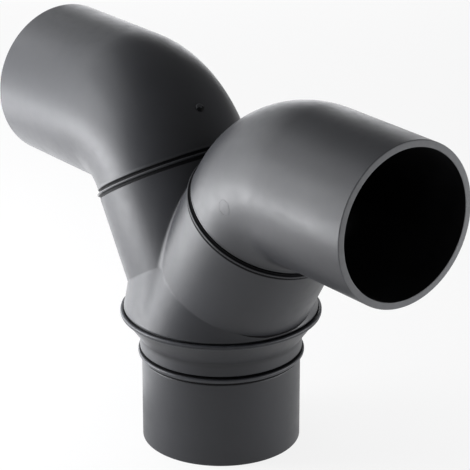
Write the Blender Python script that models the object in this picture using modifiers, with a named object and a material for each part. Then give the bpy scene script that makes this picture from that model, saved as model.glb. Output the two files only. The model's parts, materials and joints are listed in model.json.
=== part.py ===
"""Double branch drain fitting: a spigot, a flared neck, a forked body and two swept bends.

Every size is in metres. The origin is the centre of the spigot's bottom rim, +Z is up, and the
two mouths face -X and +X. Five mouldings are butt welded into one, and each weld shows as a pair
of soft rolls with a dark groove between them. Each moulding is an object of its own, and the
groove between two of them is a true gap.
"""
import math

import bmesh
import bpy
from mathutils import Vector

for old_object in list(bpy.data.objects):
    bpy.data.objects.remove(old_object, do_unlink=True)

# The pipe that every end of the fitting matches
pipe_radius = 0.055
wall = 0.0048
weld_gap = 0.0003
rim_edge = 0.0006

# The spigot, up to its weld
spigot_length = 0.0672

# The melted rolls that each weld pushes out: a bold one below its groove, a low lip above it
lower_roll_width = 0.0036
lower_roll_height = 0.0022
upper_roll_width = 0.0030
upper_roll_height = 0.0011

# The neck: a short straight cuff, a flare and a thick rim that overhangs the body
neck_swell = 0.0012
neck_cuff = 0.0091
cuff_edge = 0.0012
flare_height = 0.0151
flare_softness = 0.0014
rim_height = 0.0044
rim_overhang = 0.0025
rim_step = 0.0017
rim_softness = 0.0012
bore_ease = 0.0012

# The forked body: its foot, its two legs and the softened valley between them
leg_tilt = math.radians(31.0)
leg_swell = 0.0006
leg_start = 0.0369
foot_edge = 0.0010
foot_straight = 0.0016
leg_rise = 0.0004
foot_margin = 0.0004
crotch_clearance = 0.0015
valley_width = 0.0055

# The bends: a short straight start, a turn that is tight in the throat, and level mouths
throat_margin = 0.0002
throat_radius = 0.0028
mouth_length = 0.0832

# How finely round forms are cut
facets = 52
bend_steps = 9
bore_steps = 4
foot_steps = 3
valley_steps = 3

# A roll's outline: share of its width from the groove, and share of its height
lower_roll_outline = ((0.0, -0.2), (0.18, 0.4), (0.38, 0.86), (0.60, 1.0), (0.84, 0.72), (1.0, 0.0))
upper_roll_outline = ((0.0, -0.3), (0.12, 0.4), (0.30, 1.0), (0.52, 0.85), (0.78, 0.3), (1.0, 0.0))

# Sizes that follow from those above
bore = pipe_radius - wall
neck_radius = pipe_radius + neck_swell
leg_radius = pipe_radius + leg_swell
foot_radius = leg_start*math.sin(leg_tilt) + leg_radius*math.cos(leg_tilt) + foot_margin
foot_bore = foot_radius - wall
rim_radius = foot_radius + rim_overhang
neck_base = spigot_length + weld_gap
flare_base = neck_base + neck_cuff
rim_base = flare_base + flare_height
neck_top = rim_base + rim_height
body_base = neck_top + weld_gap
fork_height = (body_base + foot_straight + leg_rise
               + leg_radius*math.sin(leg_tilt) - leg_start*math.cos(leg_tilt))
roll_radius = leg_radius + lower_roll_height
crest_share = max(lower_roll_outline, key=lambda point: point[1])[0]
weld_distance = ((crotch_clearance + roll_radius*math.cos(leg_tilt))/math.sin(leg_tilt)
                 + lower_roll_width*crest_share)
valley_top = (fork_height + (weld_distance - lower_roll_width)*math.cos(leg_tilt)
              + leg_radius*math.sin(leg_tilt))
bend_radius = pipe_radius + throat_radius
bend_turn = math.pi/2 - leg_tilt
bend_start = upper_roll_width + throat_margin

up = Vector((0, 0, 1))
right = Vector((1, 0, 0))
back = Vector((0, 1, 0))
leg_axis = right*math.sin(leg_tilt) + up*math.cos(leg_tilt)
leg_under = right*math.cos(leg_tilt) - up*math.sin(leg_tilt)

fitting = bpy.data.collections.new("double_branch_fitting")
bpy.context.scene.collection.children.link(fitting)


def make_plastic(name, colour, roughness):
    """Satin black polyethylene, with its colour given as linear red, green and blue."""
    plastic = bpy.data.materials.new(name)
    plastic.use_nodes = True
    shader = plastic.node_tree.nodes["Principled BSDF"]
    shader.inputs["Base Color"].default_value = (*colour, 1)
    shader.inputs["Roughness"].default_value = roughness
    shader.inputs["Metallic"].default_value = 0
    return plastic


def add_piece(name, mesh, plastic):
    """Puts a mesh in the fitting, smooth where it is round and crisp at its edges."""
    mesh.materials.append(plastic)
    mesh.shade_smooth()
    mesh.set_sharp_from_angle(angle=math.radians(28))
    piece = bpy.data.objects.new(name, mesh)
    fitting.objects.link(piece)
    return piece


def softened(corners):
    """Rounds the corners of a closed outline, given as (radius, height, softness).

    A soft corner becomes three points of a curve that leaves the outline at its softness from
    the corner, and a crisp one, with a softness of 0, stays a single point.
    """
    outline = []
    for index, (radius, height, softness) in enumerate(corners):
        corner = Vector((radius, height))
        if softness == 0:
            outline.append(corner)
            continue
        before = Vector(corners[index - 1][:2])
        after = Vector(corners[(index + 1) % len(corners)][:2])
        start = corner + (before - corner).normalized()*softness
        end = corner + (after - corner).normalized()*softness
        outline += [start, (start + end + corner*2)/4, end]
    return outline


def turned_piece(name, profile, plastic):
    """Turns a closed outline of (radius, height) points about the upright axis.

    The outline starts at the outer side's top, runs down it, and comes back up the bore.
    """
    outline = bmesh.new()
    points = [outline.verts.new((radius, 0, height)) for radius, height in profile]
    for index, point in enumerate(points):
        outline.edges.new((points[index - 1], point))
    mesh = bpy.data.meshes.new(name)
    outline.to_mesh(mesh)
    outline.free()
    piece = add_piece(name, mesh, plastic)
    screw = piece.modifiers.new("turn", "SCREW")
    screw.axis = "Z"
    screw.angle = math.tau
    screw.steps = facets
    screw.render_steps = facets
    screw.use_merge_vertices = True
    screw.merge_threshold = 0.00001
    screw.use_smooth_shade = True
    return piece


def ring(centre, across, radius):
    """Points of a circle whose plane holds the direction across and the Y axis."""
    angles = [math.tau*index/facets for index in range(facets)]
    return [centre + (across*math.cos(a) + back*math.sin(a))*radius for a in angles]


def leg_ring(distance, radius):
    """A circle square to the right leg, at a distance from where the two legs' axes meet."""
    return ring(up*fork_height + leg_axis*distance, leg_under, radius)


def foot_ring(height, radius):
    """A level circle of the body's foot."""
    return ring(up*height, right, radius)


def blend_rings(start, end, steps):
    """The sections of a ruled surface between two rings, without the rings themselves."""
    shares = [index/steps for index in range(1, steps)]
    return [[a.lerp(b, share) for a, b in zip(start, end)] for share in shares]


def loft(rings):
    """Joins a closed round of rings with faces: up the outer skin and down the bore."""
    shell = bmesh.new()
    rows = [[shell.verts.new(point) for point in points] for points in rings]
    for row, following in zip(rows, rows[1:] + rows[:1]):
        for index in range(facets):
            after = (index + 1) % facets
            shell.faces.new((row[index], row[after], following[after], following[index]))
    bmesh.ops.recalc_face_normals(shell, faces=shell.faces)
    return shell


def valley_reach(height):
    """How far from the middle plane the valley's curve reaches: nothing at the welds."""
    share = (valley_top - height)/(valley_top - body_base)
    return valley_width*min(1.0, max(0.0, share))


def soften_valley(shell):
    """Cuts a half body beside the middle plane and curves it into the plane.

    The two legs would meet there in a sharp crease. The skin within the valley's reach of the
    plane is drawn in along a parabola, so that the mirrored halves meet in a smooth hollow.
    """
    for point in shell.verts:
        point.co.x -= valley_reach(point.co.z)/2
    for step in range(valley_steps + 1):
        place = (step/valley_steps)**2*valley_width/2
        everything = shell.verts[:] + shell.edges[:] + shell.faces[:]
        bmesh.ops.bisect_plane(shell, geom=everything, dist=0.0000005, plane_co=(place, 0, 0),
                               plane_no=(1, 0, 0), clear_inner=(step == 0))
    for point in shell.verts:
        reach = valley_reach(point.co.z)
        if point.co.x < reach/2:
            point.co.x = math.sqrt(2*reach*max(0.0, point.co.x))
        else:
            point.co.x += reach/2


def make_spigot(plastic):
    """The straight pipe end that the fitting stands on, with the lower roll of its weld."""
    roll = [(pipe_radius + lower_roll_height*high, spigot_length - lower_roll_width*wide, 0)
            for wide, high in lower_roll_outline]
    foot = [(pipe_radius, rim_edge, 0), (pipe_radius - rim_edge, 0, 0)]
    inside = [(bore + rim_edge, 0, 0), (bore, rim_edge, 0), (bore, spigot_length, 0)]
    return turned_piece("spigot", softened(roll + foot + inside), plastic)


def make_neck(plastic):
    """The cuff and flare that widen the pipe to the forked body's foot."""
    outside = [
        (rim_radius, neck_top, rim_softness),
        (rim_radius, rim_base, rim_softness),
        (rim_radius - rim_step, rim_base, 0),
        (neck_radius, flare_base, flare_softness),
        (neck_radius, neck_base, cuff_edge),
    ]
    inside = [
        (bore, neck_base, 0),
        (bore, flare_base + bore_ease, 0),
        (foot_bore, rim_base + bore_ease, 0),
        (foot_bore, neck_top, 0),
    ]
    return turned_piece("flared_neck", softened(outside + inside), plastic)


def make_body(plastic):
    """The forked body: a round foot that divides into two legs, mitred where they meet."""
    foot_top = foot_ring(body_base + foot_straight, foot_radius)
    leg_foot = leg_ring(leg_start, leg_radius)
    roll = [leg_ring(weld_distance - lower_roll_width*wide, leg_radius + lower_roll_height*high)
            for wide, high in reversed(lower_roll_outline)]
    outside = [foot_ring(body_base, foot_radius - foot_edge)]
    outside += [foot_ring(body_base + foot_edge, foot_radius), foot_top]
    outside += blend_rings(foot_top, leg_foot, foot_steps) + [leg_foot] + roll
    bore_top = leg_ring(weld_distance, bore)
    bore_fork = leg_ring(leg_start, bore)
    bore_foot = foot_ring(body_base + foot_straight, foot_bore)
    inside = [bore_top, bore_fork]
    inside += blend_rings(bore_fork, bore_foot, foot_steps)
    inside += [bore_foot, foot_ring(body_base, foot_bore)]
    half = loft(outside + inside)
    soften_valley(half)
    mesh = bpy.data.meshes.new("forked_body")
    half.to_mesh(mesh)
    half.free()
    body = add_piece("forked_body", mesh, plastic)
    mirror = body.modifiers.new("other_half", "MIRROR")
    mirror.use_axis = (True, False, False)
    mirror.use_mirror_merge = True
    mirror.merge_threshold = 0.00001
    return body


def bend_point(turn, around, radius, ahead=0.0):
    """A point of the bend: turned about its pivot, then carried ahead along the new direction.

    The angle around is 0 in the throat and half a turn on the outer side of the bend.
    """
    start = up*fork_height + leg_axis*(weld_distance + weld_gap + bend_start)
    pivot = start + leg_under*bend_radius
    inward = leg_under*math.cos(turn) - leg_axis*math.sin(turn)
    forward = leg_axis*math.cos(turn) + leg_under*math.sin(turn)
    centre = pivot - inward*bend_radius + forward*ahead
    return centre + (inward*math.cos(around) + back*math.sin(around))*radius


def bend_ring(turn, radius, ahead=0.0):
    """A circle square to the bend's centre line."""
    return [bend_point(turn, math.tau*index/facets, radius, ahead) for index in range(facets)]


def make_bend_mesh():
    """The right bend: a straight start with the weld's lip, a tight sweep and the mouth."""
    rings = [bend_ring(0, pipe_radius + upper_roll_height*high, upper_roll_width*wide - bend_start)
             for wide, high in upper_roll_outline]
    rings += [bend_ring(bend_turn*step/bend_steps, pipe_radius) for step in range(bend_steps + 1)]
    rings += [
        bend_ring(bend_turn, pipe_radius, mouth_length - rim_edge),
        bend_ring(bend_turn, pipe_radius - rim_edge, mouth_length),
        bend_ring(bend_turn, bore + rim_edge, mouth_length),
        bend_ring(bend_turn, bore, mouth_length - rim_edge),
    ]
    rings += [bend_ring(bend_turn*step/bore_steps, bore) for step in range(bore_steps, -1, -1)]
    rings.append(bend_ring(0, bore, -bend_start))
    shell = loft(rings)
    mesh = bpy.data.meshes.new("swept_bend")
    shell.to_mesh(mesh)
    shell.free()
    return mesh


def make_bends(plastic):
    """One moulding, welded on twice: the left bend is the right one turned half round."""
    mesh = make_bend_mesh()
    right_bend = add_piece("right_bend", mesh, plastic)
    left_bend = bpy.data.objects.new("left_bend", mesh)
    left_bend.rotation_euler = (0, 0, math.pi)
    fitting.objects.link(left_bend)
    return right_bend, left_bend


make_spigot(make_plastic("spigot_plastic", (0.026, 0.027, 0.029), 0.42))
make_neck(make_plastic("neck_plastic", (0.024, 0.025, 0.027), 0.45))
make_body(make_plastic("body_plastic", (0.025, 0.026, 0.028), 0.43))
make_bends(make_plastic("bend_plastic", (0.028, 0.029, 0.031), 0.40))
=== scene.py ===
# %% [markdown]
# # A double branch drain fitting
#
# The object is a black polyethylene fitting for a soil pipe. A spigot stands at the bottom, a neck
# flares out above it, and a forked body divides into two legs. A swept bend on each leg ends in a
# level mouth. Five mouldings were melted together, so each joint shows as a weld with raised rolls.
#
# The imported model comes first, because it fixes where everything is. Each of its five solids is
# plain and faceted, so each gets a finer piece that stands in the same place.

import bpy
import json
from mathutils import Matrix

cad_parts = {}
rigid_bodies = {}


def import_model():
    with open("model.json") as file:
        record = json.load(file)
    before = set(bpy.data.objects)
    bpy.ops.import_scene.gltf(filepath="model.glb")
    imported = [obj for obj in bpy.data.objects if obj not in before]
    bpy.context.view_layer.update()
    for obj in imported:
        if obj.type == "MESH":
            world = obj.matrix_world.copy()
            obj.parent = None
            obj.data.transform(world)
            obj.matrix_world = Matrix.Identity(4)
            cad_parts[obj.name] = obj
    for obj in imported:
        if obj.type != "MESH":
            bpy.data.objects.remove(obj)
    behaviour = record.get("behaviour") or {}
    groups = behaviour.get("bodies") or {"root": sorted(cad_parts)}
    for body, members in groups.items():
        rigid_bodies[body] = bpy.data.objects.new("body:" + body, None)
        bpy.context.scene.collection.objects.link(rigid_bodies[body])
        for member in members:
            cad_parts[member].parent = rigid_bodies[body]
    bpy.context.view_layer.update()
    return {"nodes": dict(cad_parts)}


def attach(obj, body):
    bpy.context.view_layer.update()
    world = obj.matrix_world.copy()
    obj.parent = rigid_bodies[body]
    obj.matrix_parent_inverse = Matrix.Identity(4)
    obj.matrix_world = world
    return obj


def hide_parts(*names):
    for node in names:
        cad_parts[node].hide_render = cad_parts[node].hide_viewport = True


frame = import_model()
print("solids:", sorted(frame["nodes"]))

# %% Blender's modules, and the place for the pieces
import json
import math

import bmesh
import bpy
from mathutils import Matrix, Vector, noise

fitting = bpy.data.collections.new("double_branch_fitting")
bpy.context.scene.collection.children.link(fitting)

# %% [markdown]
# ## Building with nodes
#
# Both the plastic and most of the mouldings are made from nodes. A few small helpers keep that
# readable: they add a node, fill one socket or several by name, and do a sum.

# %% Helpers for node trees
def add_node(tree, kind, **options):
    """Adds a node and sets its options."""
    node = tree.nodes.new(kind)
    for option, value in options.items():
        setattr(node, option, value)
    return node


def feed(tree, socket, value):
    """Links a socket to another one, or gives it a plain value."""
    if isinstance(value, bpy.types.NodeSocket):
        tree.links.new(value, socket)
    else:
        socket.default_value = value


def feed_all(tree, node, **values):
    """Feeds a node's inputs by name, with _ for each space."""
    for name, value in values.items():
        feed(tree, node.inputs[name.replace("_", " ")], value)
    return node


def fed_node(tree, kind, **values):
    """Adds a node that needs no options, and feeds its inputs."""
    return feed_all(tree, add_node(tree, kind), **values)


def work_out(tree, operation, *values):
    """One sum of a Math node."""
    node = add_node(tree, "ShaderNodeMath", operation=operation)
    for socket, value in zip(node.inputs, values):
        feed(tree, socket, value)
    return node.outputs[0]


# %% [markdown]
# ## The plastic
#
# Polyethylene leaves its mould with a satin skin: black, a little waxy, with a very fine grain and
# a faint unevenness from cooling. Handling polishes the edges and the crests of the welds. Painted
# shade darkens the grooves, bores, creases and folds, which are also rougher. A picture of plastic
# would be the quick way, but it would be flat up close and stretched round the bends. Noise in the
# piece's own coordinates follows the real size instead.
#
# Each mesh carries four numbers at every point: how worn it is, how much painted shade it takes,
# how far it was melted by a weld, and whether it was sawn. The plastic reads them, so that wear
# sits exactly on the edges, painted shade darkens grooves, bores, creases and folds, and the sawn
# pipe ends are paler and duller than the moulded skin.

# %% Patterns, ranges and mixed colours
def noise_of(tree, place, scale, detail=2.0, seed=0.0):
    """A noise with features of about 1/scale metres."""
    pattern = add_node(tree, "ShaderNodeTexNoise", noise_dimensions="4D")
    feed_all(tree, pattern, Vector=place, W=seed, Scale=scale, Detail=detail)
    return pattern.outputs[0]


def rescaled(tree, value, from_low, from_high, to_low, to_high):
    """A value carried from one range to another, and kept inside it."""
    return fed_node(tree, "ShaderNodeMapRange", Value=value, From_Min=from_low, From_Max=from_high,
                    To_Min=to_low, To_Max=to_high).outputs[0]


def noise_between(tree, pattern, low, high):
    """A noise, which lies mostly between 0.3 and 0.7, carried to another range."""
    return rescaled(tree, pattern, 0.3, 0.7, low, high)


def mixed(tree, share, first, second, clamped=True):
    """A colour between two others. Without the clamp, a share above 1 goes past the second."""
    node = add_node(tree, "ShaderNodeMix", data_type="RGBA", clamp_factor=clamped)
    for index, value in ((0, share), (6, first), (7, second)):
        feed(tree, node.inputs[index], value)
    return node.outputs[2]


def bump(tree, height, depth, **below):
    """A normal for a relief of the given depth in metres, on top of another one if given."""
    return fed_node(tree, "ShaderNodeBump", Height=height, Strength=1.0, Distance=depth,
                    **below).outputs[0]


# %% The start of each plastic
# the second number is painted shade, for grooves, bores, creases and folds
carried_numbers = ("worn", "painted_shade", "melted", "sawn")


def attribute_of(tree, name):
    """One of the numbers that a mesh carries at its points."""
    return add_node(tree, "ShaderNodeAttribute", attribute_name=name).outputs["Fac"]


def new_plastic(name, specular):
    """A new material, with its tree, its shader and the place in the piece's own coordinates."""
    plastic = bpy.data.materials.new(name)
    plastic.use_nodes = True
    tree = plastic.node_tree
    shader = tree.nodes["Principled BSDF"]
    shader.inputs["Specular IOR Level"].default_value = specular
    return plastic, tree, shader, add_node(tree, "ShaderNodeTexCoord").outputs["Object"]


# %% The satin black plastic
patches_per_metre = 22.0
waves_per_metre = 45.0
scuffs_per_metre = 160.0
grains_per_metre = 900.0
wave_depth = 0.00006
grain_depth = 0.00002
rubbed_brighter = 3.0
rubbed_most = 0.6
black = (0, 0, 0, 1)
sawn_colour = (0.150, 0.152, 0.158, 1)


def satin_black(name, colour, roughness, seed):
    """Black polyethylene: grain, cooling marks, handling marks, worn edges and painted shade."""
    plastic, tree, shader, place = new_plastic(name, specular=0.4)
    worn, painted_shade, melted, sawn = [attribute_of(tree, number) for number in carried_numbers]

    patches = noise_of(tree, place, patches_per_metre, detail=4.0, seed=seed)
    grain = noise_of(tree, place, grains_per_metre, detail=3.0, seed=seed)
    scuffs = noise_of(tree, place, scuffs_per_metre, detail=5.0, seed=seed + 3)
    wear = work_out(tree, "MULTIPLY", worn, rescaled(tree, scuffs, 0.35, 0.62, 0.25, 1.0))

    tone = noise_between(tree, patches, 0.88, 1.12)
    # painted shade: the skin darkens to 35% of its tone where the shade number is 1
    tone = work_out(tree, "MULTIPLY", tone, rescaled(tree, painted_shade, 0.0, 1.0, 1.0, 0.35))
    skin = mixed(tree, tone, black, (*colour, 1), clamped=False)
    rubbed = work_out(tree, "MULTIPLY", wear, rubbed_most)
    skin = mixed(tree, rubbed, skin, (*(rubbed_brighter*part for part in colour), 1))
    bare = work_out(tree, "MULTIPLY", sawn, noise_between(tree, scuffs, 0.75, 1.0))
    feed(tree, shader.inputs["Base Color"], mixed(tree, bare, skin, sawn_colour))

    gloss = noise_between(tree, patches, roughness - 0.03, roughness + 0.04)
    gloss = work_out(tree, "ADD", gloss, rescaled(tree, scuffs, 0.45, 0.75, 0.0, 0.05))
    for amount, change in ((melted, -0.02), (wear, -0.03), (painted_shade, 0.15), (sawn, 0.18)):
        gloss = work_out(tree, "ADD", gloss, work_out(tree, "MULTIPLY", amount, change))
    feed(tree, shader.inputs["Roughness"], gloss)

    waves = noise_of(tree, place, waves_per_metre, detail=1.0, seed=seed + 1)
    waves = bump(tree, waves, wave_depth)
    feed(tree, shader.inputs["Normal"], bump(tree, grain, grain_depth, Normal=waves))
    return plastic


spigot_plastic = satin_black("spigot_plastic", (0.022, 0.023, 0.027), 0.42, 1.0)
neck_plastic = satin_black("neck_plastic", (0.020, 0.021, 0.025), 0.44, 2.0)
body_plastic = satin_black("body_plastic", (0.021, 0.022, 0.026), 0.43, 3.0)
bend_plastic = satin_black("bend_plastic", (0.024, 0.025, 0.029), 0.41, 4.0)
print("plastics:", [m.name for m in (spigot_plastic, neck_plastic, body_plastic, bend_plastic)])

# %% Painted shade: the near-black plastic of bores, grooves, creases and folds
streaks_per_metre = 60.0
rough_grains_per_metre = 700.0
rough_grain_depth = 0.00003
# painted shade: the near-black colours that stand for shade in bores, grooves, creases and folds
painted_shade_low = (0.0035, 0.0035, 0.004, 1)
painted_shade_high = (0.007, 0.007, 0.008, 1)


def painted_shade_black():
    """Painted shade: a near-black, rough, barely glossy plastic for bores, grooves, creases and
    folds.
    """
    painted_black, tree, shader, place = new_plastic("painted_shade_plastic", specular=0.12)
    streaks = noise_of(tree, place, streaks_per_metre, detail=4.0, seed=5.0)
    skin = mixed(tree, noise_between(tree, streaks, 0.0, 1.0), painted_shade_low, painted_shade_high)
    feed(tree, shader.inputs["Base Color"], skin)
    feed(tree, shader.inputs["Roughness"], noise_between(tree, streaks, 0.62, 0.74))
    grain = noise_of(tree, place, rough_grains_per_metre, detail=3.0, seed=6.0)
    feed(tree, shader.inputs["Normal"], bump(tree, grain, rough_grain_depth))
    return painted_black


painted_shade_plastic = painted_shade_black()
# faces with more painted shade than this take the near-black painted shade plastic
painted_shade_from = 0.55
print("dull plastic where the groove number is above", painted_shade_from)

# %% [markdown]
# ## Turning a wall
#
# The spigot, the neck and both bends share one rule: a pipe wall is a closed outline carried round
# a centre line. The outline could be turned with a Screw modifier, but that can't follow the bend.
# So a Geometry Nodes tree lays a grid round the pipe, looks up the outline at each row and works
# out each point's place. The centre line runs straight, then turns, then runs straight again.
#
# One small group knows that bent space. The wall uses it, and so do the marks on the bends, which
# therefore sit on the skin wherever the skin goes.

# %% The start and the end of a tree
def new_tree(name, inputs, output):
    """A Geometry Nodes tree with named inputs and one output, each given with its kind."""
    tree = bpy.data.node_groups.new(name, "GeometryNodeTree")
    for label, kind in inputs:
        tree.interface.new_socket(label, in_out="INPUT", socket_type="NodeSocket" + kind)
    tree.interface.new_socket(output[0], in_out="OUTPUT", socket_type="NodeSocket" + output[1])
    return tree, add_node(tree, "NodeGroupInput").outputs


def give_out(tree, result):
    """Links a tree's result to its output."""
    feed(tree, add_node(tree, "NodeGroupOutput").inputs[0], result)


def realized(tree, geometry, material):
    """The geometry with its instances made real and a material set, which every tree ends with."""
    real = fed_node(tree, "GeometryNodeRealizeInstances", Geometry=geometry).outputs[0]
    return fed_node(tree, "GeometryNodeSetMaterial", Geometry=real, Material=material).outputs[0]


# %% The bent space
def make_bent_space():
    """A node group: the place of a point given by its radius, its angle and its way along."""
    names = ("Radius", "Angle", "Along", "Bend Radius", "Bend Turn")
    tree, given = new_tree("bent_space", [(name, "Float") for name in names], ("Place", "Vector"))
    turned = work_out(tree, "DIVIDE", given["Along"], given["Bend Radius"])
    turned = work_out(tree, "MINIMUM", work_out(tree, "MAXIMUM", turned, 0.0), given["Bend Turn"])
    curved = work_out(tree, "MULTIPLY", turned, given["Bend Radius"])
    ahead = work_out(tree, "SUBTRACT", given["Along"], curved)
    inward = work_out(tree, "MULTIPLY", given["Radius"], work_out(tree, "COSINE", given["Angle"]))
    sideways = work_out(tree, "MULTIPLY", given["Radius"], work_out(tree, "SINE", given["Angle"]))
    reach = work_out(tree, "SUBTRACT", given["Bend Radius"], inward)
    sine = work_out(tree, "SINE", turned)
    cosine = work_out(tree, "COSINE", turned)
    across = work_out(tree, "MULTIPLY", reach, cosine)
    across = work_out(tree, "SUBTRACT", given["Bend Radius"], across)
    across = work_out(tree, "ADD", across, work_out(tree, "MULTIPLY", ahead, sine))
    forward = work_out(tree, "ADD", work_out(tree, "MULTIPLY", reach, sine),
                       work_out(tree, "MULTIPLY", ahead, cosine))
    place = fed_node(tree, "ShaderNodeCombineXYZ", X=across, Y=sideways, Z=forward)
    give_out(tree, place.outputs[0])
    return tree


bent_space = make_bent_space()


def place_in_bend(tree, **values):
    """Uses the bent space inside another tree."""
    node = add_node(tree, "GeometryNodeGroup", node_tree=bent_space)
    return feed_all(tree, node, **values).outputs[0]


# %% The tree that carries an outline round a pipe
noise_middle = 0.5
swells_round = 3.0
seam_distance = 0.000001


def carried_by(tree, name):
    """One of the carried numbers, read inside a Geometry Nodes tree."""
    node = add_node(tree, "GeometryNodeInputNamedAttribute", data_type="FLOAT")
    return feed_all(tree, node, Name=name).outputs[0]


def looked_up(tree, outline, value, index, kind):
    """A value of the outline at one of its points."""
    node = add_node(tree, "GeometryNodeSampleIndex", data_type=kind, domain="POINT")
    return feed_all(tree, node, Geometry=outline, Value=value, Index=index).outputs[0]


def make_pipe_wall():
    """A closed wall round a centre line, from an outline of radius (X) and way along (Z)."""
    tree, given = new_tree("pipe_wall", (
        ("Outline", "Geometry"), ("Outline Points", "Int"), ("Sections", "Int"),
        ("Bend Radius", "Float"), ("Bend Turn", "Float"), ("Weld Unevenness", "Float"),
        ("Weld Seed", "Float"), ("Plastic", "Material"), ("Painted Shade Plastic", "Material"),
    ), ("Wall", "Geometry"))
    outline = given["Outline"]
    row_length = work_out(tree, "ADD", given["Outline Points"], 1.0)
    grid = fed_node(tree, "GeometryNodeMeshGrid", Vertices_Y=row_length,
                    Vertices_X=work_out(tree, "ADD", given["Sections"], 1.0))

    index = add_node(tree, "GeometryNodeInputIndex").outputs[0]
    section = work_out(tree, "FLOOR", work_out(tree, "DIVIDE", index, row_length))
    point = work_out(tree, "SUBTRACT", index, work_out(tree, "MULTIPLY", section, row_length))
    point = work_out(tree, "MODULO", point, given["Outline Points"])
    angle = work_out(tree, "DIVIDE", section, given["Sections"])
    angle = work_out(tree, "MULTIPLY", angle, math.tau)

    numbers = {name: looked_up(tree, outline, carried_by(tree, name), point, "FLOAT")
               for name in carried_numbers}
    spot = add_node(tree, "GeometryNodeInputPosition").outputs[0]
    spot = looked_up(tree, outline, spot, point, "FLOAT_VECTOR")
    spot = fed_node(tree, "ShaderNodeSeparateXYZ", Vector=spot).outputs

    # the noise is read on a circle, so that the roll meets itself after one turn
    round_trip = fed_node(tree, "ShaderNodeCombineXYZ", X=work_out(tree, "COSINE", angle),
                          Y=work_out(tree, "SINE", angle), Z=0.0).outputs[0]
    swell = noise_of(tree, round_trip, swells_round, detail=3.0, seed=given["Weld Seed"])
    swell = work_out(tree, "SUBTRACT", swell, noise_middle)
    swell = work_out(tree, "MULTIPLY", swell, given["Weld Unevenness"])
    swell = work_out(tree, "MULTIPLY", swell, numbers["melted"])
    radius = work_out(tree, "ADD", spot["X"], swell)

    place = place_in_bend(tree, Radius=radius, Angle=angle, Along=spot["Z"],
                          Bend_Radius=given["Bend Radius"], Bend_Turn=given["Bend Turn"])
    wall = fed_node(tree, "GeometryNodeSetPosition", Geometry=grid.outputs["Mesh"],
                    Position=place).outputs[0]
    for name in carried_numbers:
        store = add_node(tree, "GeometryNodeStoreNamedAttribute", data_type="FLOAT", domain="POINT")
        wall = feed_all(tree, store, Geometry=wall, Name=name, Value=numbers[name]).outputs[0]
    wall = fed_node(tree, "GeometryNodeMergeByDistance", Geometry=wall,
                    Distance=seam_distance).outputs[0]
    wall = realized(tree, wall, given["Plastic"])
    # faces deep in painted shade take the near-black painted shade plastic
    in_painted_shade = work_out(tree, "GREATER_THAN", carried_by(tree, "painted_shade"), painted_shade_from)
    wall = fed_node(tree, "GeometryNodeSetMaterial", Geometry=wall, Selection=in_painted_shade,
                    Material=given["Painted Shade Plastic"]).outputs[0]
    give_out(tree, wall)
    return tree


pipe_wall = make_pipe_wall()
print("wall tree:", len(pipe_wall.nodes), "nodes, bent space:", len(bent_space.nodes), "nodes")

# %% [markdown]
# ## From a tree to a piece
#
# A tree's result lives only in its modifier. To become a piece of the fitting it is turned into a
# plain mesh, its faces are made to point outwards, and the object that held the modifier goes.
# Crisp corners are marked by their angle, so that round skins shade smoothly and rims stay sharp.

# %% Finish a piece
crisp_angle = math.radians(32)
same_place = 0.0000005


def finish_piece(name, mesh, slot, *stands_for):
    """Puts a mesh in the fitting as a piece that rides on the one rigid body."""
    shell = bmesh.new()
    shell.from_mesh(mesh)
    bmesh.ops.remove_doubles(shell, verts=shell.verts, dist=same_place)
    bmesh.ops.recalc_face_normals(shell, faces=shell.faces)
    still_open = sum(not edge.is_manifold for edge in shell.edges)
    shell.to_mesh(mesh)
    shell.free()
    mesh.shade_smooth()
    mesh.set_sharp_from_angle(angle=crisp_angle)
    mesh.name = name
    piece = bpy.data.objects.new(name, mesh)
    fitting.objects.link(piece)
    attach(piece, "root")
    if stands_for:
        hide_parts(*stands_for)
    print(name, "faces:", len(mesh.polygons), "open edges:", still_open)


def plain_mesh(holder):
    """The mesh that an object's modifiers make. The object itself goes."""
    bpy.context.view_layer.update()
    view = bpy.context.evaluated_depsgraph_get()
    mesh = bpy.data.meshes.new_from_object(holder.evaluated_get(view), depsgraph=view,
                                           preserve_all_data_layers=True)
    bpy.data.objects.remove(holder)
    return mesh


def mesh_from_tree(source, tree, values, place=Matrix()):
    """Runs a tree on a mesh with named inputs, and gives the result as a plain mesh."""
    holder = bpy.data.objects.new("holder", source)
    fitting.objects.link(holder)
    modifier = holder.modifiers.new("nodes", "NODES")
    modifier.node_group = tree
    for socket in tree.interface.items_tree:
        if socket.in_out == "INPUT" and socket.name in values:
            modifier[socket.identifier] = values[socket.name]
    mesh = plain_mesh(holder)
    mesh.transform(place)
    return mesh


# %% [markdown]
# ## Outlines
#
# An outline is drawn as a maker would: straight lines between corners, with most corners rounded.
# A rounded corner becomes a short curve, and the outline gets one more point just before and after
# it, so that the long straight skin beside it stays straight in the shading too.

# %% Draw an outline
class Spot:
    """A point of an outline, with the numbers that the plastic reads."""

    def __init__(self, radius, along, worn=0.0, painted_shade=0.0, melted=0.0, sawn=0.0):
        self.place = Vector((radius, along))
        self.numbers = (worn, painted_shade, melted, sawn)


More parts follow.
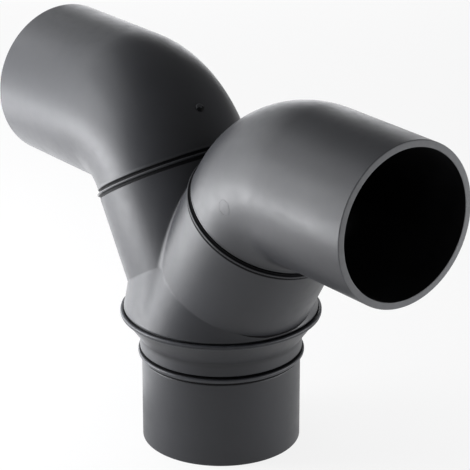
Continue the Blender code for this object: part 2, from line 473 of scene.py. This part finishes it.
def rounded(corners, steps=7):
    """Rounds a closed outline's corners, each as (radius, along, softness, wear, painted shade)."""
    beside = 1.5  # how far from the corner the extra point lies, in softnesses
    room = 2.2  # how long a side has to be to get one
    spots = []
    for index, (radius, along, softness, worn, painted_shade) in enumerate(corners):
        corner = Vector((radius, along))
        before = Vector(corners[index - 1][:2]) - corner
        after = Vector(corners[(index + 1) % len(corners)][:2]) - corner
        if softness == 0:
            spots.append(Spot(radius, along, worn, painted_shade))
            continue
        start = corner + before.normalized()*softness
        end = corner + after.normalized()*softness
        if before.length > softness*room:
            spots.append(Spot(*(corner + before.normalized()*softness*beside)))
        for step in range(steps):
            share = step/(steps - 1)
            curve = start*(1 - share)**2 + corner*(2*share*(1 - share)) + end*share**2
            strength = math.sin(math.pi*(0.15 + 0.7*share))
            spots.append(Spot(*curve, worn*strength, painted_shade*strength))
        if after.length > softness*room:
            spots.append(Spot(*(corner + after.normalized()*softness*beside)))
    return spots


def through(points, steps):
    """A smooth curve through points, with the given number of steps between each two."""
    padded = [points[0], *points, points[-1]]
    curve = []
    for a, b, c, d in zip(padded, padded[1:], padded[2:], padded[3:]):
        for step in range(steps):
            t = step/steps
            curve.append(tuple(
                0.5*(2*q + (r - p)*t + (2*p - 5*q + 4*r - s)*t**2 + (3*q - p - 3*r + s)*t**3)
                for p, q, r, s in zip(a, b, c, d)))
    return curve + [tuple(points[-1])]


def outline_mesh(spots):
    """The outline as loose points that carry their numbers, for the wall tree to read."""
    mesh = bpy.data.meshes.new("outline")
    mesh.from_pydata([(spot.place[0], 0, spot.place[1]) for spot in spots], [], [])
    for column, name in enumerate(carried_numbers):
        carried = mesh.attributes.new(name, "FLOAT", "POINT")
        carried.data.foreach_set("value", [spot.numbers[column] for spot in spots])
    return mesh


# %% [markdown]
# ## The welds
#
# Two pipe ends are pressed against a hot plate and then against each other. The melt is pushed out
# as two rolls with a groove between them. The spigot's weld has one bold roll, under the plain edge
# of the neck. On a leg the lower roll is smaller, with a fold below it, and the upper one is only a
# low lip. Each roll is drawn in shares of its own width and height, starting in the groove, so that
# its size can change without a new drawing.

# %% The rolls of a weld
pipe_radius = 0.055
wall = 0.0048
weld_gap = 0.0003
crest_wear = 0.5


def rise_between(low, high, value):
    """0 up to the first value, 1 from the second one on, and even between them."""
    return max(0.0, min(1.0, (value - low)/(high - low)))


class Roll:
    """A weld's roll: its line, the heights where painted shade fades out, and the fold painted as
    shade below it.
    """

    def __init__(self, width, height, painted_shade_heights, line, shaded_fold=None):
        self.width = width
        self.height = height
        self.painted_shade_heights = painted_shade_heights
        self.shaded_fold = shaded_fold
        self.line = through(line, steps=4)

    def spots(self, skin, groove_end, way):
        """The roll on a skin, starting in the notch. Its way along the pipe is 1 up or -1 down."""
        spots = []
        for wide, high in self.line:
            melted = max(0.0, min(1.0, high))
            # painted shade: black low in the notch between the rolls, and all over the fold below a
            # roll
            painted_shade = rise_between(*self.painted_shade_heights, high) if wide < 0.5 else 0.0
            if self.shaded_fold and self.shaded_fold[0] < wide < self.shaded_fold[1]:
                painted_shade = 1.0
            spots.append(Spot(skin + self.height*high, groove_end + way*self.width*wide,
                              crest_wear*melted**3, painted_shade, melted))
        return spots


bold_roll = Roll(0.0055, 0.0027, (0.72, 0.52), (
    (0.0, -0.55), (0.07, -0.45), (0.12, -0.05), (0.16, 0.45), (0.21, 0.80), (0.29, 0.96),
    (0.42, 1.0), (0.55, 0.98), (0.66, 0.88), (0.76, 0.62), (0.84, 0.30), (0.91, 0.04),
    (1.0, -0.06), (1.14, -0.05), (1.24, 0.0)), shaded_fold=(0.74, 1.18))
lower_roll = Roll(0.0036, 0.0022, (0.37, 0.17), (
    (0.0, -0.32), (0.12, -0.28), (0.19, -0.08), (0.24, 0.18), (0.30, 0.38), (0.39, 0.46),
    (0.51, 0.46), (0.60, 0.36), (0.67, 0.10), (0.74, -0.12), (0.95, -0.15), (1.24, -0.12),
    (1.38, 0.0)), shaded_fold=(0.66, 1.34))
upper_roll = Roll(0.0030, 0.0011, (0.10, -0.12), (
    (0.0, -0.62), (0.13, -0.56), (0.24, -0.38), (0.33, -0.12), (0.44, 0.10), (0.60, 0.18),
    (0.80, 0.09), (1.0, 0.0)))
print("weld rolls:", [len(roll.line) for roll in (bold_roll, lower_roll, upper_roll)], "points")

# %% [markdown]
# ## The spigot
#
# The spigot is the plain pipe end that the fitting stands on. Its top ends in the bold roll of the
# first weld. It is turned from one outline: down the outside, round the rim and up the bore.

# %% The outline of the spigot
bore = pipe_radius - wall
spigot_length = 0.0672
rim_edge = 0.0006
rim_depth = 0.0012

# one more point just below the fold keeps the long skin straight in the shading
outside = bold_roll.spots(pipe_radius, spigot_length, -1)
outside.append(Spot(pipe_radius, outside[-1].place[1] - 0.0006))


def sawn_end(before, after, end):
    """A sawn pipe end with softened edges, drawn from the outside of the wall to the bore."""
    rims = ((pipe_radius, end, rim_edge, 1.0, 0), (bore, end, rim_edge, 0.7, 0))
    drawn = rounded([(pipe_radius, before, 0, 0, 0), *rims, (bore, after, 0, 0, 0)])[1:-1]
    for spot in drawn:
        across = (spot.place[0] - bore)/wall  # 0 in the bore and 1 on the outside
        worn, _, melted, _ = spot.numbers
        # painted shade: the bore is painted black as shade, and the cut face gets the sawn colour
        in_bore, on_cut = float(across < 0.02), float(0.03 < across < 0.97)
        spot.numbers = (worn, in_bore, melted, on_cut)
    return drawn


foot = sawn_end(spigot_length, spigot_length, 0)
# the bore is painted black as shade
inside = [Spot(bore, rim_depth, painted_shade=1.0), Spot(bore, spigot_length, painted_shade=1.0)]
spigot_outline = outside + foot + inside
print("spigot outline:", len(spigot_outline), "points")

# %% Turn the spigot
sections = 224
weld_unevenness = 0.0006


def turned_wall(spots, plastic, seed, bend_radius=1.0, bend_turn=0.0, place=Matrix()):
    """Runs the wall tree on an outline."""
    values = {"Outline Points": len(spots), "Sections": sections, "Bend Radius": bend_radius,
              "Bend Turn": bend_turn, "Weld Unevenness": weld_unevenness, "Weld Seed": seed,
              "Plastic": plastic, "Painted Shade Plastic": painted_shade_plastic}
    return mesh_from_tree(outline_mesh(spots), pipe_wall, values, place)


finish_piece("turned_spigot", turned_wall(spigot_outline, spigot_plastic, 1.0), "spigot", "spigot")

# %% [markdown]
# ## The neck
#
# The neck widens the pipe to the body's foot. It has a short straight cuff, a flare with a soft
# foot, a small step, and a thick rim. A fine groove runs round the top of the rim where the body
# was pressed into it; it and the ledge under the rim are painted black as shade, and the flare's
# foot is painted darker as shade. The same tree turns it from its own outline.

# %% The flared neck
leg_tilt = math.radians(31.0)
leg_radius = pipe_radius + 0.0006
leg_start = 0.0369
foot_margin = 0.0004
foot_radius = leg_start*math.sin(leg_tilt) + leg_radius*math.cos(leg_tilt) + foot_margin
foot_bore = foot_radius - wall
rim_radius = foot_radius + 0.0025
neck_radius = pipe_radius + 0.0012
neck_base = spigot_length + weld_gap
flare_base = neck_base + 0.0091
rim_base = flare_base + 0.0163
neck_top = rim_base + 0.0032

# painted shade, the last number of each corner: black in the rim's top groove, under the rim, at
# the neck's base and in the bore, and a darker skin at the flare's foot
neck_outline = rounded([
    (rim_radius, neck_top, 0.0012, 0.8, 0),
    (rim_radius, rim_base, 0.0012, 0.4, 0),
    (rim_radius - 0.0017, rim_base, 0.0006, 0, 1.0),
    (neck_radius, flare_base, 0.0018, 0, 0.54),
    (neck_radius, neck_base, 0.0010, 0.2, 0),
    (neck_radius - 0.0018, neck_base, 0, 0, 1.0),
    (bore, neck_base, 0, 0, 0.6),
    (bore, flare_base + 0.0012, 0.0030, 0, 0),
    (foot_bore, rim_base + 0.0012, 0.0030, 0, 0),
    (foot_bore, neck_top, 0, 0, 0.6),
    (foot_radius - 0.0022, neck_top, 0, 0, 1.0),
    (foot_radius - 0.0014, neck_top - 0.0010, 0.0003, 0, 1.0),
    (foot_radius - 0.0002, neck_top - 0.0010, 0.0003, 0, 1.0),
    (foot_radius + 0.0004, neck_top, 0.0003, 0, 0.5),
])
neck_mesh = turned_wall(neck_outline, neck_plastic, 2.0)
finish_piece("turned_neck", neck_mesh, "flared_neck", "flared_neck")

# %% [markdown]
# ## The bends
#
# Each bend starts with a short straight end that carries the weld's upper lip. It then turns so
# tightly that the throat is almost a crease, and runs level to the mouth. The same outline and the
# same tree serve, with a bend radius and a turn. The left bend is the same moulding, turned half
# round, just as a factory would use one mould for both.

# %% Where the bends sit
up = Vector((0, 0, 1))
right = Vector((1, 0, 0))
back = Vector((0, 1, 0))
leg_axis = right*math.sin(leg_tilt) + up*math.cos(leg_tilt)
leg_under = right*math.cos(leg_tilt) - up*math.sin(leg_tilt)
body_base = neck_top + weld_gap
foot_straight = 0.0016
leg_lift = 0.0004
fork_height = (body_base + foot_straight + leg_lift
               + leg_radius*math.sin(leg_tilt) - leg_start*math.cos(leg_tilt))
crest_share = 0.60
crotch_clearance = 0.0015
roll_radius = leg_radius + lower_roll.height
weld_distance = ((crotch_clearance + roll_radius*math.cos(leg_tilt))/math.sin(leg_tilt)
                 + lower_roll.width*crest_share)
throat_radius = 0.0028
throat_margin = 0.0002
mouth_length = 0.0832
bend_radius = pipe_radius + throat_radius
bend_turn = math.pi/2 - leg_tilt
bend_start = upper_roll.width + throat_margin
sweep_end = bend_radius*bend_turn
mouth = sweep_end + mouth_length

sweep_start = up*fork_height + leg_axis*(weld_distance + weld_gap + bend_start)
right_place = Matrix((leg_under, back, leg_axis)).transposed().to_4x4()
right_place.translation = sweep_start
half_round = Matrix.Rotation(math.pi, 4, "Z")
places = {"right": right_place, "left": half_round @ right_place}
print("weld is", round(weld_distance*1000, 1), "mm along the leg; mouth centre in mm:",
      [round(x*1000, 1) for x in right_place @ Vector((bend_radius, 0, 0))])

# %% Sweep both bends
sweep_steps = 44
beyond_sweep = (0.004, 0.02, 0.045)
lip = upper_roll.spots(pipe_radius, -bend_start, 1)
skin = [Spot(pipe_radius, sweep_end*step/sweep_steps) for step in range(sweep_steps + 1)]
skin += [Spot(pipe_radius, sweep_end + extra) for extra in beyond_sweep]
# the mouth's bore is painted black as shade
mouth_rim = sawn_end(sweep_end, sweep_end, mouth) + [Spot(bore, mouth - rim_depth, painted_shade=1.0)]
inside = [Spot(bore, sweep_end*step/sweep_steps, painted_shade=1.0) for step in range(sweep_steps, -1, -1)]
bend_outline = lip + skin + mouth_rim + inside + [Spot(bore, -bend_start, painted_shade=1.0)]

for side, seed in (("right", 3.0), ("left", 4.0)):
    bend_mesh = turned_wall(bend_outline, bend_plastic, seed, bend_radius, bend_turn, places[side])
    finish_piece("swept_bend_" + side, bend_mesh, side + "_bend", side + "_bend")

# %% [markdown]
# ## Marks of the mould
#
# The mould leaves two small marks on each bend: a pip on the bend's back, where the plastic flowed
# in, and a faint ring on one flank. They could be painted with bump, but they are real shapes. The
# ring is a circle of nodes wrapped on the bent skin, and the pip a flattened ball half sunk in it,
# whose side towards the weld is painted black as its shadow.

# %% A ring that lies on the bent skin
def make_skin_ring():
    """A fine ridge round a spot of the bend's skin."""
    sizes = ("Ring Radius", "Ridge", "Skin Radius", "Along", "Angle", "Bend Radius", "Bend Turn")
    tree, given = new_tree("skin_ring", (
        ("Base", "Geometry"), *((name, "Float") for name in sizes), ("Plastic", "Material"),
    ), ("Ring", "Geometry"))
    circle = fed_node(tree, "GeometryNodeCurvePrimitiveCircle", Resolution=72,
                      Radius=given["Ring Radius"])
    spot = add_node(tree, "GeometryNodeInputPosition").outputs[0]
    spot = fed_node(tree, "ShaderNodeSeparateXYZ", Vector=spot).outputs
    along = work_out(tree, "ADD", spot["X"], given["Along"])
    angle = work_out(tree, "DIVIDE", spot["Y"], given["Skin Radius"])
    angle = work_out(tree, "ADD", angle, given["Angle"])
    place = place_in_bend(tree, Radius=given["Skin Radius"], Angle=angle, Along=along,
                          Bend_Radius=given["Bend Radius"], Bend_Turn=given["Bend Turn"])
    ring = fed_node(tree, "GeometryNodeSetPosition", Geometry=circle.outputs[0],
                    Position=place).outputs[0]
    ridge = fed_node(tree, "GeometryNodeCurvePrimitiveCircle", Resolution=12,
                     Radius=given["Ridge"]).outputs[0]
    ring = fed_node(tree, "GeometryNodeCurveToMesh", Curve=ring, Profile_Curve=ridge).outputs[0]
    give_out(tree, realized(tree, ring, given["Plastic"]))
    return tree


skin_ring = make_skin_ring()
ridge = 0.00028
sunk_share = 0.66
ring_values = {"Ring Radius": 0.0053, "Ridge": ridge, "Skin Radius": pipe_radius - ridge*sunk_share,
               "Along": 0.028, "Angle": math.radians(-88.7), "Bend Radius": bend_radius,
               "Bend Turn": bend_turn, "Plastic": bend_plastic}
for side, place in places.items():
    ring_mesh = mesh_from_tree(bpy.data.meshes.new("base"), skin_ring, ring_values, place)
    finish_piece("mould_ring_" + side, ring_mesh, side + "_bend")

# %% The pip on each bend's back
pip_radius = 0.0032
pip_height = 0.0014
pip_along = 0.0133
ball_sides = 40
ball_rows = 20


def make_ball():
    """A ball of radius 1, row by row, so that its faces come in the same order on each run."""
    ball = bmesh.new()
    rings = []
    for row in range(1, ball_rows):
        high, wide = math.cos(math.pi*row/ball_rows), math.sin(math.pi*row/ball_rows)
        turns = [math.tau*side/ball_sides for side in range(ball_sides)]
        rings.append([ball.verts.new((wide*math.cos(a), wide*math.sin(a), high)) for a in turns])
    poles = (ball.verts.new((0, 0, 1)), ball.verts.new((0, 0, -1)))
    for side in range(ball_sides):
        after = (side + 1) % ball_sides
        for upper, lower in zip(rings, rings[1:]):
            ball.faces.new((upper[side], lower[side], lower[after], upper[after]))
        for ring, pole in zip((rings[0], rings[-1]), poles):
            ball.faces.new((ring[side], ring[after], pole))
    return ball


def pip_mesh(place):
    """A low dome on the bend's back, half sunk in the wall, with painted shadow on its side towards
    the weld.
    """
    dome = make_ball()
    for face in dome.faces:
        middle = face.calc_center_median()
        face.material_index = int(middle.x < 0.05 and middle.z < 0.93)  # painted shadow, except on the crest
    turned = pip_along/bend_radius
    outward = Vector((-math.cos(turned), 0, math.sin(turned)))
    forward = Vector((math.sin(turned), 0, math.cos(turned)))
    skin_place = Vector((bend_radius, 0, 0)) + outward*(bend_radius + pipe_radius)
    stand = Matrix((forward*pip_radius, back*pip_radius, outward*pip_height)).transposed().to_4x4()
    stand.translation = skin_place
    dome.transform(place @ stand)
    mesh = bpy.data.meshes.new("pip")
    dome.to_mesh(mesh)
    dome.free()
    for plastic in (bend_plastic, painted_shade_plastic):
        mesh.materials.append(plastic)
    return mesh


for side, place in places.items():
    finish_piece("gate_pip_" + side, pip_mesh(place), side + "_bend")

# %% [markdown]
# ## The forked body
#
# This is the hardest piece. Its skin starts as a level circle at the foot, changes into a tilted
# circle on each leg, and meets itself in a valley. Two crossed cylinders joined with a Boolean
# would leave a sharp crease, and the real valley is soft, and softer towards the foot. So one half
# is lofted from rings, cut at the middle and curved into it, and the other half mirrors it. Under
# each leg, where its round skin rises out of the foot, a short crease is painted dark as shade.

# %% Rings of the body
back_angles = [math.tau*index/sections for index in range(sections)]


def ring_points(centre, across, radius):
    """A circle whose plane holds the direction across and the Y axis."""
    return [centre + (across*math.cos(a) + back*math.sin(a))*radius for a in back_angles]


def leg_ring(distance, radius):
    """A circle square to the right leg."""
    return ring_points(up*fork_height + leg_axis*distance, leg_under, radius)


def foot_ring(height, radius):
    """A level circle of the foot."""
    return ring_points(up*height, right, radius)


def rings_between(start, end, steps):
    """The rings of a ruled skin between two others."""
    return [[a.lerp(b, step/steps) for a, b in zip(start, end)] for step in range(1, steps)]


# %% The painted shade in the crease under a leg
crease_shade_width = 0.0008
crease_rise = 0.0048
crease_shade_fade = (1.3, 0.9)
least_reach = 0.00005
least_lift = 0.0001


def leg_rise(angle):
    """How far the leg's circle stands above its lowest point."""
    return leg_radius*math.sin(leg_tilt)*(1 - math.cos(angle))


def crease_shade_reach(angle):
    """How far the crease's painted shade reaches on each side of the leg's circle: only under the
    leg.
    """
    return crease_shade_width*max(0.0, 1 - leg_rise(angle)/crease_rise)


def crease_shade_numbers(share_below):
    """The numbers of a ring between foot and leg, which lies this share below the leg's circle."""
    numbers = []
    for angle in back_angles:
        below = (leg_lift + leg_rise(angle))*share_below
        reach = crease_shade_reach(angle)
        in_crease_shade = rise_between(*crease_shade_fade, below/reach) if reach > least_reach else 0.0
        numbers.append((0.0, in_crease_shade, 0.0, 0.0))
    return numbers


print("the crease covers", sum(crease_shade_reach(a) > least_reach for a in back_angles), "of", sections,
      "points of the leg's circle")

# %% Loft one half
plain = (0.0, 0.0, 0.0, 0.0)
# the bore's rings are painted black as shade
painted_bore_shade = (0.0, 1.0, 0.0, 0.0)
# painted shade: black at the foot's lower edge, where it meets the neck's rim, fading out upwards
foot_edge = ((0.0, 0.0012, 1.0), (0.0002, 0.0009, 1.0), (0.0004, 0.0004, 0.7),
             (0.0006, 0.0001, 0.3), (0.0009, 0.0, 0.0))
fork_steps = 22
bore_steps = 16
leg_shares = (0.02, 0.05, 0.15, 0.3, 0.5, 0.7, 0.85, 0.95, 0.99)


def body_rings():
    """Every ring of the half body, up the outside and down the bore, each with its numbers."""
    rings = []
    for lift, inset, painted_shade in foot_edge:
        rings.append((foot_ring(body_base + lift, foot_radius - inset), (0.0, painted_shade, 0.0, 0.0)))
    foot_top = foot_ring(body_base + foot_straight, foot_radius)
    leg_foot = leg_ring(leg_start, leg_radius)
    rings.append((foot_top, plain))
    for step, ring in enumerate(rings_between(foot_top, leg_foot, fork_steps), 1):
        rings.append((ring, crease_shade_numbers(1 - step/fork_steps)))
    rings.append((leg_foot, crease_shade_numbers(0.0)))
    above = [point + leg_axis*(least_lift + crease_shade_reach(angle))
             for point, angle in zip(leg_foot, back_angles)]
    rings.append((above, crease_shade_numbers(0.0)))
    roll = lower_roll.spots(leg_radius, weld_distance, -1)[::-1]
    roll_foot = roll[0].place[1]
    for share in leg_shares:
        rings.append((leg_ring(leg_start + (roll_foot - leg_start)*share, leg_radius), plain))
    rings += [(leg_ring(spot.place[1], spot.place[0]), spot.numbers) for spot in roll]
    bore_foot = foot_ring(body_base + foot_straight, foot_bore)
    bore_leg = leg_ring(leg_start, bore)
    rings.append((leg_ring(weld_distance, bore), painted_bore_shade))
    for share in (0.75, 0.5, 0.25):
        rings.append((leg_ring(leg_start + (weld_distance - leg_start)*share, bore), painted_bore_shade))
    rings.append((bore_leg, painted_bore_shade))
    rings += [(ring, painted_bore_shade) for ring in rings_between(bore_leg, bore_foot, bore_steps)]
    rings += [(bore_foot, painted_bore_shade), (foot_ring(body_base, foot_bore), painted_bore_shade)]
    return rings


def loft_half():
    """Joins the rings with faces, and gives each point its numbers."""
    half = bmesh.new()
    layers = [half.verts.layers.float.new(name) for name in carried_numbers]
    rows = []
    for points, numbers in body_rings():
        row = [half.verts.new(point) for point in points]
        each = numbers if isinstance(numbers, list) else [numbers]*sections
        for vert, own in zip(row, each):
            for layer, number in zip(layers, own):
                vert[layer] = number
        rows.append(row)
    for row, following in zip(rows, rows[1:] + rows[:1]):
        for index in range(sections):
            after = (index + 1) % sections
            face = half.faces.new((row[index], row[after], following[after], following[index]))
            # faces deep in painted shade take the near-black painted shade plastic
            face.material_index = int(sum(vert[layers[1]] for vert in face.verts)/4 > painted_shade_from)
    return half


# %% Soften the valley
valley_width = 0.0055
valley_steps = 10
on_plane = 0.0000002
valley_top = (fork_height + (weld_distance - lower_roll.width)*math.cos(leg_tilt)
              + leg_radius*math.sin(leg_tilt))


def valley_reach(height):
    """How far from the middle the valley's curve reaches: widest at the foot, none at the welds."""
    share = (valley_top - height)/(valley_top - body_base)
    return valley_width*min(1.0, max(0.0, share))


def soften_valley(half):
    """Cuts the half beside the middle plane and draws its skin into the plane along a parabola."""
    for vert in half.verts:
        vert.co.x -= valley_reach(vert.co.z)/2
    for step in range(valley_steps + 1):
        place = (step/valley_steps)**2*valley_width/2
        everything = half.verts[:] + half.edges[:] + half.faces[:]
        bmesh.ops.bisect_plane(half, geom=everything, dist=on_plane, plane_co=(place, 0, 0),
                               plane_no=(1, 0, 0), clear_inner=(step == 0))
    for vert in half.verts:
        reach = valley_reach(vert.co.z)
        if vert.co.x < reach/2:
            vert.co.x = math.sqrt(2*reach*max(0.0, vert.co.x))
        else:
            vert.co.x += reach/2


half = loft_half()
soften_valley(half)
half_mesh = bpy.data.meshes.new("half_body")
half.to_mesh(half_mesh)
half.free()
for plastic in (body_plastic, painted_shade_plastic):
    half_mesh.materials.append(plastic)
print("half of the body:", len(half_mesh.polygons), "faces")

# %% Mirror the half, and make its rolls uneven
def uneven_rolls(mesh):
    """Swells and thins the melted rolls a little, differently on each leg."""
    melted = mesh.attributes["melted"].data
    for vert in mesh.vertices:
        amount = melted[vert.index].value
        if amount > 0:
            side = 1 if vert.co.x > 0 else -1
            axis = Vector((side*leg_axis.x, 0, leg_axis.z))
            rel = vert.co - up*fork_height
            out = (rel - axis*rel.dot(axis)).normalized()
            swell = noise.noise(out*swells_round + Vector((0, 0, 5*side)))
            vert.co += out*(swell*(weld_unevenness/2)*amount)


holder = bpy.data.objects.new("half_body", half_mesh)
fitting.objects.link(holder)
mirror = holder.modifiers.new("other_half", "MIRROR")
mirror.use_axis = (True, False, False)
mirror.merge_threshold = 0.000005
body_mesh = plain_mesh(holder)
uneven_rolls(body_mesh)
finish_piece("forked_shell", body_mesh, "forked_body", "forked_body")

# %% [markdown]
# ## The floor and the light
#
# The fitting was photographed like a catalogue part: on white, in large soft lights. A black satin
# surface shows almost nothing but the lights' reflections, so their places matter more than their
# power. Panels stand round the object, each given by the side it shines from.

# %% The pale floor
scene = bpy.context.scene
scene.view_settings.view_transform = "Standard"
floor_paint = (0.86, 0.86, 0.86, 1)
white_share = 0.85
floor_reach = 8.0


def seen_directly(tree):
    """1 for what the camera sees directly, or in a gloss or through glass."""
    path = add_node(tree, "ShaderNodeLightPath").outputs
    seen = work_out(tree, "MAXIMUM", path["Is Camera Ray"], path["Is Glossy Ray"])
    return work_out(tree, "MAXIMUM", seen, path["Is Transmission Ray"])


def pale_floor():
    """A white that keeps the object's shadow."""
    pale = bpy.data.materials.new("pale_floor")
    pale.use_nodes = True
    tree = pale.node_tree
    tree.nodes.clear()
    paint = fed_node(tree, "ShaderNodeBsdfDiffuse", Color=floor_paint)
    white = fed_node(tree, "ShaderNodeEmission", Color=(1, 1, 1, 1), Strength=1.0)
    mix = add_node(tree, "ShaderNodeMixShader")
    feed(tree, mix.inputs[0], work_out(tree, "MULTIPLY", seen_directly(tree), white_share))
    tree.links.new(paint.outputs[0], mix.inputs[1])
    tree.links.new(white.outputs[0], mix.inputs[2])
    tree.links.new(mix.outputs[0], add_node(tree, "ShaderNodeOutputMaterial").inputs[0])
    return pale


floor_mesh = bpy.data.meshes.new("floor")
corners = [(x*floor_reach, y*floor_reach, 0) for x, y in ((-1, -1), (1, -1), (1, 1), (-1, 1))]
floor_mesh.from_pydata(corners, [], [(0, 1, 2, 3)])
floor_mesh.materials.append(pale_floor())
floor = bpy.data.objects.new("floor", floor_mesh)
scene.collection.objects.link(floor)
print("floor:", 2*floor_reach, "m square")

# %% [markdown]
# The dark bands of the photograph lie where the skin faces the camera, and its broad highlights
# where it faces left. So the main lights are two upright panels on the left, close to the object,
# and one above them. Low strips and a glowing card at their feet brighten the undersides. Strips on
# the right and large panels far behind draw the thin bright edges. A world of one pale grey fills
# the rest, so that no side goes black.

# %% The world and the light panels
sky_level = 0.22
studio_white = (0.965, 0.975, 1.0)
light_target = Vector((0, 0, 0.14))
world = bpy.data.worlds.new("studio")
scene.world = world
world.use_nodes = True
sky = world.node_tree.nodes["Background"]
feed_all(world.node_tree, sky, Color=(1, 1, 1, 1), Strength=sky_level)


def from_side(azimuth, elevation):
    """A direction away from the object: azimuth 0 is the front and 90 the right."""
    a, e = math.radians(azimuth), math.radians(elevation)
    return Vector((math.sin(a)*math.cos(e), -math.cos(a)*math.cos(e), math.sin(e)))


def light_panel(name, azimuth, elevation, distance, width, height, power, spread=180):
    """A soft panel that faces the object and stays out of the picture."""
    panel = bpy.data.lights.new(name, "AREA")
    panel.shape = "RECTANGLE"
    panel.size, panel.size_y = width, height
    panel.energy = power
    panel.color = studio_white
    panel.spread = math.radians(spread)
    lamp = bpy.data.objects.new(name, panel)
    lamp.location = light_target + from_side(azimuth, elevation)*distance
    lamp.rotation_euler = from_side(azimuth, elevation).to_track_quat("Z", "Y").to_euler()
    lamp.visible_camera = False
    scene.collection.objects.link(lamp)
    return lamp


def glowing_card(name, place, width, depth, power):
    """A soft panel that lies on the floor and faces up."""
    lamp = light_panel(name, 0, 0, 1, width, depth, power)
    lamp.location = place
    lamp.rotation_euler = (math.pi, 0, 0)


# azimuth, elevation, distance, width, height, watts, and the spread where it is narrow
panels = {
    "wall_left": (-38, 11.5, 0.6, 0.32, 0.48, 3.2),
    "wall_left_back": (-68, 11.5, 0.6, 0.32, 0.48, 1.0),
    "strip_left": (-38, -8, 0.5, 0.27, 0.12, 1.5),
    "strip_left_back": (-68, -8, 0.5, 0.27, 0.12, 0.38),
    "strip_back": (-98, -4, 0.75, 0.40, 0.16, 0.34, 90),
    "strip_right": (142, -8, 0.5, 0.27, 0.12, 0.9),
    "strip_front_right": (116, -10, 0.56, 0.27, 0.12, 0.5),
    "upper_left": (-53, 42, 0.8, 0.7, 0.42, 2.3),
    "far_behind": (-128, 5, 1.6, 0.75, 0.75, 5.8),
    "far_left": (-98, 18, 1.6, 0.75, 1.2, 4.4),
}
for name, where_and_power in panels.items():
    light_panel(name, *where_and_power)
glowing_card("card_left", (-0.31, -0.10, 0.004), 0.44, 0.40, 0.8)
print("panels:", len(panels) + 1)

# %% [markdown]
# ## The camera
#
# The camera's place, aim and lens were found by fitting the object's outline to the photograph. It
# stands to the right of the front and looks down a little, with a long lens.

# %% The camera
image_width = 470
focal_pixels = 2462.92
camera_data = bpy.data.cameras.new("camera")
camera_data.sensor_width = 36
camera_data.lens = focal_pixels/image_width*camera_data.sensor_width
camera_data.clip_end = 20
camera = bpy.data.objects.new("camera", camera_data)
scene.collection.objects.link(camera)
scene.camera = camera


def turned_towards(first, second, angle):
    """Turns two square directions in their own plane."""
    return (first*math.cos(angle) + second*math.sin(angle),
            second*math.cos(angle) - first*math.sin(angle))


camera_azimuth = 52.1913
camera_elevation = 21.6669
camera_distance = 1.6807
camera_target = Vector((0, 0, 0.150))
yaw, pitch, roll = math.radians(0.3305), math.radians(-0.0489), math.radians(-0.1365)

camera_back = from_side(camera_azimuth, camera_elevation)
camera_place = camera_target + camera_back*camera_distance
heading = math.radians(camera_azimuth)
camera_right = Vector((math.cos(heading), math.sin(heading), 0))
camera_up = camera_back.cross(camera_right)
camera_right, camera_back = turned_towards(camera_right, camera_back, yaw)
camera_up, camera_back = turned_towards(camera_up, camera_back, pitch)
camera_right, camera_up = turned_towards(camera_right, camera_up, roll)
stand = Matrix((camera_right, camera_up, camera_back)).transposed().to_4x4()
stand.translation = camera_place
camera.matrix_world = stand
print("lens in mm:", round(camera_data.lens, 1))
